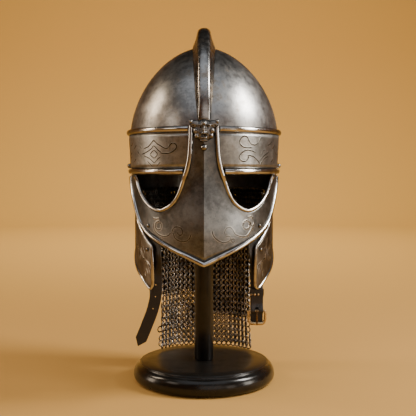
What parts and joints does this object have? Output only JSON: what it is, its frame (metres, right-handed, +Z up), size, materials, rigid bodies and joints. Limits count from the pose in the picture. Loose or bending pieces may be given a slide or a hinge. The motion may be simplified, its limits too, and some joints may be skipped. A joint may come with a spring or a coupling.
{
  "type": "crested masked helmet on display stand",
  "caption": "Crested steel helmet with a half face mask, engraved brow band, cheek plates, mail neck guard and chin straps, on a turned black wooden stand.",
  "frame": {"origin": "centre of the stand's foot, on the floor", "axes": "+Z up along the stand's pole, -Y towards the helmet's front, +X towards the wearer's left, which is the viewer's right"},
  "size_m": [0.2178, 0.2571, 0.4962],
  "materials": {
    "pewter_steel": "worn dark polish",
    "engraved_plate": "darkened, with engraved scrolls",
    "polished_rim": "bright polish",
    "cast_boss": "cast, antiqued",
    "mail_steel": "dark rings",
    "black_leather": "satin, worn",
    "antique_brass": "antiqued",
    "black_wood": "satin black lacquer"
  },
  "bodies": {
    "helmet": {"skull": "pewter_steel", "crest": "pewter_steel", "brow_band": "engraved_plate", "mask": "engraved_plate", "cheek_plate_left": "engraved_plate", "cheek_plate_right": "engraved_plate", "brow_rim_upper": "polished_rim", "brow_rim_lower": "polished_rim", "mask_rim_lower": "polished_rim", "eye_rim_left": "polished_rim", "eye_rim_right": "polished_rim", "cheek_rim_left": "polished_rim", "cheek_rim_right": "polished_rim", "crest_boss": "cast_boss", "boss_rivet": "polished_rim", "temple_rivet_left": "polished_rim", "temple_rivet_right": "polished_rim", "mask_rivet_left": "polished_rim", "mask_rivet_right": "polished_rim", "cheek_rivet_left": "polished_rim", "cheek_rivet_right": "polished_rim", "aventail": "mail_steel", "hanger_left": "black_leather", "hanger_right": "black_leather", "strap_left": "black_leather", "strap_right": "black_leather", "buckle_loop": "black_leather", "buckle_rivet_1": "antique_brass", "buckle_rivet_2": "antique_brass", "buckle_rivet_3": "antique_brass", "stand_base": "black_wood", "stand_pole": "black_wood", "stand_cap": "black_wood"},
    "buckle": {"buckle_frame": "antique_brass"},
    "tongue": {"buckle_tongue": "antique_brass"}
  },
  "joints": [
    {"name": "buckle_swing", "type": "hinge", "parent": "helmet", "child": "buckle", "pos_m": [0.0703, -0.0726, 0.111], "axis": [-1, 0, 0], "range_deg": [0, 45]},
    {"name": "tongue_lift", "type": "hinge", "parent": "buckle", "child": "tongue", "pos_m": [0.0703, -0.0726, 0.111], "axis": [-1, 0, 0], "range_deg": [0, 70]}
  ]
}
